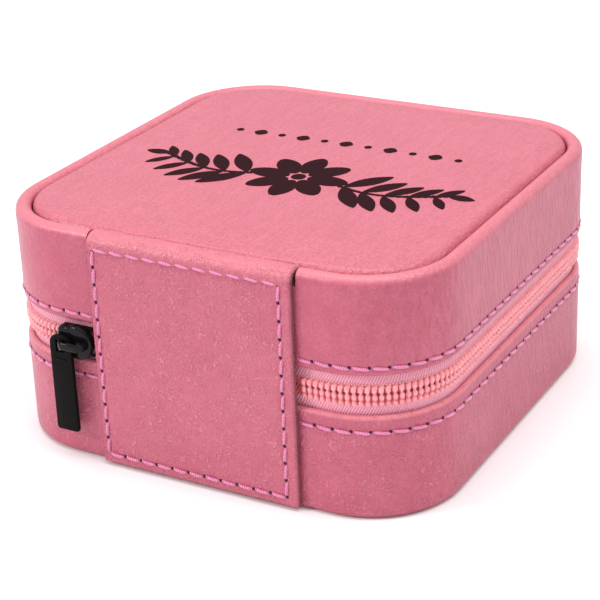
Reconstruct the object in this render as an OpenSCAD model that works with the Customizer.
// Square zip-round travel jewellery case: a tray and a lid of lined board
// covered in leather, joined by a leather hinge strap at the back and closed
// by a coil zip round the other sides. Z is up, +Y is the hinge side, and the
// origin is the centre of the flat underside.

/* [Case] */
// Width of the case, side to side
case_w = 100; // [80:1:150]
// Depth of the case, front to hinge
case_d = 100; // [80:1:150]
// Radius of the upright corners
corner_r = 19.7; // [16:0.1:26]
// Height of the tray's leather wall
base_h = 22.8; // [19:0.1:34]
// Height of the lid's leather wall and bead
lid_h = 20.3; // [17:0.1:30]
// Height of the zip between the two leather rims
zip_gap = 8.5; // [8.2:0.1:12]

/* [Walls] */
// Thickness of the backed leather on the walls
leather_t = 1.4; // [1:0.1:2]
// Thickness of the leather under the tray and over the lid
panel_t = 1.2; // [0.8:0.1:2]
// Thickness of the stiffening board
board_t = 2.2; // [1.6:0.1:3]
// Thickness of the velvet lining
lining_t = 0.8; // [0.5:0.1:1.2]
// Thickness of the foam under the lid's leather
pad_t = 2.2; // [1:0.1:4]
// Radius of the bead round the top edge
bead_r = 1.7; // [1.2:0.1:2.4]
// Radius of the cord inside the bead
bead_core_r = 0.9; // [0.5:0.1:1]
// Radius of the tray's bottom edge
foot_r = 1.85; // [1.4:0.05:3]
// How far the wall leather is turned in under the tray
turn_in = 6; // [4:0.5:10]

/* [Hinge strap] */
// Gap from the strap's edge to where the corner starts
strap_corner_gap = 6.9; // [5:0.1:12]
// How far the strap sits off centre, to -X
strap_shift = 1; // [0:0.1:2]
// Thickness of the folded and stitched strap
strap_t = 1.6; // [1.2:0.1:2.4]
// Height of the strap's lower end
strap_foot = 0.8; // [0.4:0.1:3]

/* [Zip] */
// Thickness of the woven tape
tape_t = 0.6; // [0.4:0.1:0.8]
// Depth of tape held behind each leather rim
tape_hold = 4; // [3:0.5:7]
// Width of one coil
coil_w = 1.6; // [1.2:0.1:2]
// Space between the two coils, where the slider's post passes
coil_gap = 1; // [0.8:0.1:1.4]
// How far the coil stays inside the wall's face
coil_inset = 0.2; // [0:0.1:0.5]
// Length of the slider
slider_l = 8.2; // [7:0.1:10]
// Width of the slider
slider_w = 7.5; // [6.8:0.1:7.8]
// Thickness of the slider's outer plate
plate_t = 1.65; // [1.2:0.05:2]
// Length of the pull
pull_l = 21.9; // [14:0.1:28]
// Width of the pull at its free end
pull_w = 5.4; // [4:0.1:7]
// Thickness of the pull
pull_t = 1; // [0.7:0.1:1.1]

/* [Tray inside] */
// Number of ring rolls
ring_rolls = 7; // [5:1:9]
// Thickness of the foam bed under the ring rolls
bed_t = 3; // [2:0.5:6]
// Thickness of the fixed partition
partition_t = 2; // [1.5:0.1:3]
// Distance of the partition's middle from the case's middle, to -X
partition_off = 5; // [0:0.5:12]
// Thickness of each loose divider
divider_t = 3; // [2:0.1:4]
// Height of the partition and the dividers
divider_h = 15.8; // [11:0.1:17]

/* [Lid inside] */
// Length of the necklace strip
strip_l = 64; // [50:1:70]
// Width of the necklace strip
strip_w = 18; // [16:0.5:24]
// Length of each snap tab
tab_l = 15; // [12:0.5:17]
// Width of each snap tab
tab_w = 11; // [8:0.5:14]
// Radius of the snap's cap
snap_r = 3.2; // [2.6:0.1:4]
// Width of the pocket
pocket_w = 72; // [56:1:76]
// Length of the pocket
pocket_l = 38; // [28:1:44]
// Room inside the pocket
pocket_room = 4.4; // [4.2:0.1:6]

/* [Hidden] */
$fn = 72;

leather_colour = "#D8788F";
zip_colour = "#EF9BAA";
velvet_colour = "#CFC3BC";
board_colour = "#B99B77";
metal_colour = "#C9C9CC";
foam_colour = "#EFE7D8";
slider_colour = "#18171A";

// Clearances
fit = 0.3;      // between loose pieces and what they stand between
run = 0.15;     // between the slider and the chain that it runs on
eps = 0.01;

// Walls, as distances in from the outer face
tape_in = leather_t + tape_t;
board_in = leather_t + board_t;
lining_in = board_in + lining_t;

// Heights
lid_z = base_h + zip_gap;
case_h = lid_z + lid_h;
zip_z = base_h + zip_gap / 2;
floor_z = panel_t + board_t + lining_t;
lid_board_z = case_h - panel_t - pad_t - board_t;
ceiling_z = lid_board_z - lining_t;

// Plan
corner_x = case_w / 2 - corner_r;
corner_y = case_d / 2 - corner_r;
back_y = case_d / 2;
inner_x = case_w / 2 - lining_in;
inner_y = case_d / 2 - lining_in;
inner_r = corner_r - lining_in;
panel_in = 2 * bead_r + 0.1;

// Strap
strap_half = corner_x - strap_corner_gap;
strap_x0 = -strap_half - strap_shift;
strap_x1 = strap_half - strap_shift;
strap_bend_r = bead_r + strap_t;
strap_top = case_h + 0.2;
tape_tuck = 2.5;

// Slider: its inner plate is set back so that it clears the tape round a corner
slider_gap = 0.4;
slider_end_r = 1.3;
slider_x = strap_x1 + slider_gap + slider_l / 2;
flange_t = 0.75;
flange_back = 0.5;      // how far each flange stops short of the plate's ends
flange_z = coil_gap / 2 + coil_w + run + 0.1;
post_t = coil_gap - 2 * run;
inner_plate_l = 5;
inner_plate_t = 1;
inner_plate_w = slider_w - 1.6;
post_back = 0.4;        // how far the post stops short of the inner plate's end
inner_plate_x0 = corner_x - inner_plate_l - slider_x;
inner_plate_in = corner_r - sqrt(pow(corner_r - tape_in - run, 2) - pow(inner_plate_l, 2));

// How far past the corner the lid's half of the zip flexes as the lid opens
flex_reach = 2;

// Bridge and pull
bridge_bar = 1;
bridge_w = 1.6;
bridge_clear = 0.25;
pull_y = plate_t + bridge_clear;
bridge_y = pull_y + pull_t + bridge_clear;
bridge_span = 5.5;
foot_back = 1.3;
foot_x = slider_l / 2 - foot_back;
foot_far_x = foot_x - bridge_span;
pull_hole_w = 2.1;
pull_hole_up = 0.75;
pull_hole_down = 2;
pull_top = 1.75;
pull_neck_w = 5.2;
pull_end_r = 1.2;

// Tray inside
partition_x = -partition_off;
divider_y = inner_y / 3;
roll_reach = 8;
roll_run = 2 * (corner_y + roll_reach);
roll_pitch = roll_run / ring_rolls;
roll_r = (roll_pitch - fit) / 2;
roll_x0 = -corner_x - sqrt(pow(inner_r, 2) - pow(roll_reach, 2)) + fit;
roll_x1 = partition_x - partition_t / 2 - fit;

// Lid inside
strip_t = 1;
strip_front = 7.5;      // from the front lining to the strip
strip_y = -inner_y + strip_front;
root_w = 1.6;
root_back = 0.2;
tab_t = 1.2;
snap_t = 0.9;
stud_r = 2;
socket_r = 2.9;
rivet_d = 2.4;
cap_t = 0.7;
cap_edge = 1;           // tab left past the cap
tab_y = strip_y + fit + root_back;
tab_z = ceiling_z - strip_t - snap_t - run - tab_t;
snap_y = tab_y + tab_l - snap_r - cap_edge;
tab_pitch = strip_l / 3;
pocket_t = 0.7;
pocket_back = 5.6;      // from the back lining to the pocket
pocket_y = inner_y - pocket_back - pocket_l;
elastic_w = 1.6;
elastic_proud = 0.3;

// One straight side's section: q counts quarter turns from the +X side
module side_run(q, from, to) {
    half = q % 2 == 0 ? case_w / 2 : case_d / 2;
    rotate(90 * q) translate([half, to, 0]) rotate([90, 0, 0])
        linear_extrude(to - from) children();
}

// One corner's section: q counts quarter turns from the +X+Y corner
module corner_turn(q) {
    sx = q == 0 || q == 3 ? 1 : -1;
    sy = q < 2 ? 1 : -1;
    translate([sx * corner_x, sy * corner_y, 0]) rotate(90 * q)
        rotate_extrude(angle = 90) translate([corner_r, 0]) children();
}

// A section carried all round the case, drawn with x = 0 at the outer face
module band() {
    for (q = [0:3]) {
        reach = q % 2 == 0 ? corner_y : corner_x;
        side_run(q, -reach, reach) children();
        corner_turn(q) children();
    }
}

// A section carried round the zip's way: back, both sides and front
module zip_way(from_x, to_x) {
    side_run(1, -corner_x, -from_x) children();
    side_run(1, -to_x, corner_x) children();
    side_run(0, -corner_y, corner_y) children();
    side_run(2, -corner_y, corner_y) children();
    side_run(3, -corner_x, corner_x) children();
    for (q = [0:3]) corner_turn(q) children();
}

// A flat plate with the case's outline, set in from its outer face
module plate(in, z0, z1) {
    r = corner_r - in;
    translate([0, 0, z0]) linear_extrude(z1 - z0) {
        square([case_w - 2 * in, 2 * corner_y], center = true);
        square([2 * corner_x, case_d - 2 * in], center = true);
        for (x = [-corner_x, corner_x], y = [-corner_y, corner_y]) translate([x, y]) circle(r);
    }
}

// An upright strip of the wall's section, from one depth and height to another
module wall_section(in_from, in_to, z0, z1) {
    translate([-in_to, z0]) square([in_to - in_from, z1 - z0]);
}

// A box between two corners
module block(low, high) {
    translate(low) cube(high - low);
}

// ---- Tray ----

module base_bottom_cover() {
    color(leather_colour) plate(turn_in + fit, 0, panel_t);
}

module base_floor_board() {
    color(board_colour) plate(leather_t, panel_t, panel_t + board_t);
}

module base_side_cover() {
    rim_r = leather_t / 2;
    color(leather_colour) band() {
        wall_section(0, leather_t, foot_r, base_h - rim_r);
        translate([-rim_r, base_h - rim_r]) circle(rim_r);
        wall_section(foot_r, turn_in, 0, panel_t);
        difference() {
            intersection() {
                translate([-foot_r, foot_r]) circle(foot_r);
                wall_section(0, foot_r, 0, foot_r);
            }
            wall_section(leather_t, 2 * foot_r, panel_t, 2 * foot_r);
        }
    }
}

module base_wall_frame() {
    color(board_colour) band() {
        wall_section(leather_t, board_in, panel_t + board_t, base_h - tape_hold);
        wall_section(tape_in, board_in, base_h - tape_hold, base_h - lining_t);
    }
}

module base_floor_lining() {
    color(velvet_colour) plate(board_in, panel_t + board_t, floor_z);
}

module base_wall_lining() {
    color(velvet_colour) band() {
        wall_section(board_in, lining_in, floor_z, base_h);
        wall_section(tape_in, board_in, base_h - lining_t, base_h);
    }
}

module ring_bed() {
    side = roll_run / 2;
    color(velvet_colour) block([roll_x0, -side, floor_z], [roll_x1, side, floor_z + bed_t]);
}

module ring_roll(i) {
    y = (i - (ring_rolls + 1) / 2) * roll_pitch;
    color(velvet_colour) translate([roll_x0, y, floor_z + bed_t + roll_r])
        rotate([0, 90, 0]) cylinder(r = roll_r, h = roll_x1 - roll_x0);
}

module compartment_partition() {
    half = partition_t / 2;
    color(velvet_colour) block([partition_x - half, -inner_y, floor_z],
        [partition_x + half, inner_y, floor_z + divider_h]);
}

module divider(y) {
    half = divider_t / 2;
    color(velvet_colour) block([partition_x + partition_t / 2 + fit, y - half, floor_z],
        [inner_x - fit, y + half, floor_z + divider_h]);
}

// ---- Hinge ----

module hinge_strap() {
    bend_y = back_y + strap_t - strap_bend_r;
    bend_z = strap_top - strap_bend_r;
    color(leather_colour) translate([strap_x0, 0, 0]) rotate([90, 0, 90])
        linear_extrude(strap_x1 - strap_x0) {
            translate([back_y, strap_foot]) square([strap_t, bend_z - strap_foot]);
            intersection() {
                translate([bend_y, bend_z]) difference() {
                    circle(strap_bend_r);
                    circle(strap_bend_r - strap_t);
                }
                translate([bend_y, bend_z]) square(2 * strap_bend_r);
            }
            translate([back_y - panel_in + eps, strap_top - strap_t])
                square([bend_y - back_y + panel_in, strap_t]);
        }
}

module hinge_lining() {
    color(velvet_colour) block([strap_x0 + 2 * tape_tuck, back_y - lining_t, base_h + fit],
        [strap_x1 - 2 * tape_tuck, back_y, lid_z - fit]);
}

// ---- Zip ----

module tape_section(side) {
    z_coil = zip_z + side * coil_gap / 2;
    z_hold = side < 0 ? base_h - tape_hold : lid_z + tape_hold;
    wall_section(leather_t, tape_in, min(z_coil, z_hold), max(z_coil, z_hold));
}

module coil_section(side) {
    z0 = side < 0 ? zip_z - coil_gap / 2 - coil_w : zip_z + coil_gap / 2;
    wall_section(coil_inset, leather_t, z0, z0 + coil_w);
}

// The stretch of the lid's half beside the slider, which flexes as the lid opens
module flex_stretch(from_x) {
    side_run(1, -corner_x, -from_x) children();
    corner_turn(0) children();
    side_run(0, corner_y - flex_reach, corner_y) children();
}

// The rest of the lid's half
module lid_stretch(to_x) {
    side_run(0, -corner_y, corner_y - flex_reach) children();
    side_run(2, -corner_y, corner_y) children();
    side_run(3, -corner_x, corner_x) children();
    side_run(1, -to_x, corner_x) children();
    for (q = [1:3]) corner_turn(q) children();
}

module zip_tape_lower() {
    color(zip_colour) zip_way(strap_x1 - tape_tuck, strap_x0 + tape_tuck) tape_section(-1);
}

module zip_coil_lower() {
    color(zip_colour) zip_way(strap_x1, strap_x0) coil_section(-1);
}

module zip_tape_upper() {
    color(zip_colour) lid_stretch(strap_x0 + tape_tuck) tape_section(1);
}

module zip_coil_upper() {
    color(zip_colour) lid_stretch(strap_x0) coil_section(1);
}

module zip_tape_upper_end() {
    color(zip_colour) flex_stretch(strap_x1 - tape_tuck) tape_section(1);
}

module zip_coil_upper_end() {
    color(zip_colour) flex_stretch(strap_x1) coil_section(1);
}

// The slider's own frame: x along the chain, y out of the wall, z up
module at_slider() {
    translate([slider_x, back_y, zip_z]) children();
}

module slider_body() {
    r = slider_end_r;
    face = -coil_inset + run;
    color(slider_colour) at_slider() {
        translate([0, plate_t, 0]) rotate([90, 0, 0]) linear_extrude(plate_t - face) {
            square([slider_l, slider_w - 2 * r], center = true);
            square([slider_l - 2 * r, slider_w], center = true);
            for (x = [-1, 1], z = [-1, 1])
                translate([x * (slider_l / 2 - r), z * (slider_w / 2 - r)]) circle(r);
        }
        for (side = [-1, 1]) {
            low = side < 0 ? -flange_z - flange_t : flange_z;
            block([-slider_l / 2 + flange_back, -leather_t + run, low],
                [slider_l / 2 - flange_back, face + eps, low + flange_t]);
        }
        block([inner_plate_x0, -inner_plate_in - inner_plate_t, -inner_plate_w / 2],
            [inner_plate_x0 + inner_plate_l, -inner_plate_in, inner_plate_w / 2]);
        block([0, -inner_plate_in - eps, -post_t / 2],
            [inner_plate_x0 + inner_plate_l - post_back, face + eps, post_t / 2]);
    }
}

module slider_bridge() {
    color(slider_colour) at_slider() {
        for (x = [foot_x, foot_far_x]) translate([x, plate_t, 0])
            rotate([-90, 0, 0]) cylinder(d = bridge_bar, h = bridge_y - plate_t + bridge_bar / 2);
        block([foot_far_x - bridge_bar / 2, bridge_y, -bridge_w / 2],
            [foot_x + bridge_bar / 2, bridge_y + bridge_bar, bridge_w / 2]);
    }
}

module zip_pull() {
    end_r = pull_end_r;
    color(slider_colour) at_slider() translate([foot_x, pull_y + pull_t, 0])
        rotate([90, 0, 0]) linear_extrude(pull_t) difference() {
            union() {
                polygon([[-pull_neck_w / 2, pull_top - end_r], [-pull_w / 2, pull_top - pull_l + end_r],
                    [pull_w / 2, pull_top - pull_l + end_r], [pull_neck_w / 2, pull_top - end_r]]);
                for (x = [-1, 1]) {
                    translate([x * (pull_neck_w / 2 - end_r), pull_top - end_r]) circle(end_r);
                    translate([x * (pull_w / 2 - end_r), pull_top - pull_l + end_r]) circle(end_r);
                }
                translate([-pull_neck_w / 2 + end_r, pull_top - end_r])
                    square([pull_neck_w - 2 * end_r, end_r]);
                translate([-pull_w / 2 + end_r, pull_top - pull_l])
                    square([pull_w - 2 * end_r, end_r + eps]);
            }
            translate([-pull_hole_w / 2, -pull_hole_down])
                square([pull_hole_w, pull_hole_up + pull_hole_down]);
        }
}

// ---- Lid ----

// The bead and the wall's top stop at the strap, which is turned over the edge in their place
module strap_cut() {
    block([strap_x0 - fit, back_y - panel_in, strap_top - strap_bend_r],
        [strap_x1 + fit, back_y + 1, case_h + 1]);
}

module lid_side_cover() {
    rim_r = leather_t / 2;
    bead_z = case_h - bead_r;
    color(leather_colour) difference() {
        band() difference() {
            union() {
                wall_section(0, leather_t, lid_z + rim_r, bead_z);
                translate([-rim_r, lid_z + rim_r]) circle(rim_r);
                translate([-bead_r, bead_z]) circle(bead_r);
            }
            translate([-bead_r, bead_z]) circle(bead_core_r);
        }
        strap_cut();
    }
}

module lid_bead_core() {
    color(zip_colour) difference() {
        band() translate([-bead_r, case_h - bead_r]) circle(bead_core_r);
        strap_cut();
    }
}

module lid_wall_frame() {
    color(board_colour) band() {
        wall_section(leather_t, board_in, lid_z + tape_hold, lid_board_z);
        wall_section(tape_in, board_in, lid_z + lining_t, lid_z + tape_hold);
    }
}

module lid_top_board() {
    color(board_colour) plate(leather_t, lid_board_z, lid_board_z + board_t);
}

module lid_top_pad() {
    color(foam_colour) plate(panel_in + panel_t, lid_board_z + board_t, case_h - panel_t);
}

module lid_top_cover() {
    color(leather_colour) difference() {
        plate(panel_in, lid_board_z + board_t, case_h);
        plate(panel_in + panel_t, lid_board_z, case_h - panel_t);
    }
}

module lid_panel_lining() {
    color(velvet_colour) plate(board_in, ceiling_z, lid_board_z);
}

module lid_wall_lining() {
    color(velvet_colour) band() {
        wall_section(board_in, lining_in, lid_z, ceiling_z);
        wall_section(tape_in, board_in, lid_z, lid_z + lining_t);
    }
}

function tab_x(i) = (i - 2) * tab_pitch;

module necklace_strip() {
    color(velvet_colour) {
        block([-strip_l / 2, strip_y, ceiling_z - strip_t], [strip_l / 2, strip_y + strip_w, ceiling_z]);
        for (i = [1:3]) block([tab_x(i) - tab_w / 2, tab_y - root_back, tab_z + tab_t + fit],
            [tab_x(i) + tab_w / 2, tab_y - root_back + root_w, ceiling_z - strip_t + eps]);
    }
}

module snap_studs() {
    color(metal_colour) for (i = [1:3]) translate([tab_x(i), snap_y, ceiling_z - strip_t - snap_t])
        cylinder(r = stud_r, h = snap_t);
}

module snap_tab(i) {
    color(velvet_colour) difference() {
        block([tab_x(i) - tab_w / 2, tab_y, tab_z], [tab_x(i) + tab_w / 2, tab_y + tab_l, tab_z + tab_t]);
        translate([tab_x(i), snap_y, tab_z - 1]) cylinder(d = rivet_d, h = tab_t + 2);
    }
}

module snap_socket(i) {
    color(metal_colour) translate([tab_x(i), snap_y, tab_z]) {
        translate([0, 0, -cap_t]) cylinder(r = snap_r, h = cap_t);
        cylinder(d = rivet_d, h = tab_t);
        translate([0, 0, tab_t]) difference() {
            cylinder(r = socket_r, h = snap_t - run);
            translate([0, 0, -1]) cylinder(r = stud_r + run, h = snap_t + 2);
        }
    }
}

module pocket_panel() {
    half = pocket_w / 2;
    low = ceiling_z - pocket_room - pocket_t;
    color(velvet_colour) difference() {
        block([-half, pocket_y, low], [half, pocket_y + pocket_l, ceiling_z]);
        block([-half + pocket_t, pocket_y - 1, low + pocket_t],
            [half - pocket_t, pocket_y + pocket_l - pocket_t, ceiling_z + 1]);
    }
}

module pocket_elastic() {
    low = ceiling_z - pocket_room - pocket_t;
    color(velvet_colour) block([-pocket_w / 2, pocket_y - elastic_w, low - elastic_proud],
        [pocket_w / 2, pocket_y, low + pocket_t]);
}

base_bottom_cover();
base_floor_board();
base_side_cover();
base_wall_frame();
base_floor_lining();
base_wall_lining();
hinge_strap();
hinge_lining();
zip_tape_lower();
zip_coil_lower();
ring_bed();
for (i = [1:ring_rolls]) ring_roll(i);
compartment_partition();
divider(-divider_y);  // divider_1
divider(divider_y);  // divider_2
lid_side_cover();
lid_bead_core();
lid_wall_frame();
lid_top_board();
lid_top_pad();
lid_top_cover();
lid_panel_lining();
lid_wall_lining();
zip_tape_upper();
zip_coil_upper();
zip_tape_upper_end();
zip_coil_upper_end();
necklace_strip();
snap_studs();
for (i = [1:3]) {
    snap_tab(i);
    snap_socket(i);
}
pocket_panel();
pocket_elastic();
slider_body();
slider_bridge();
zip_pull();
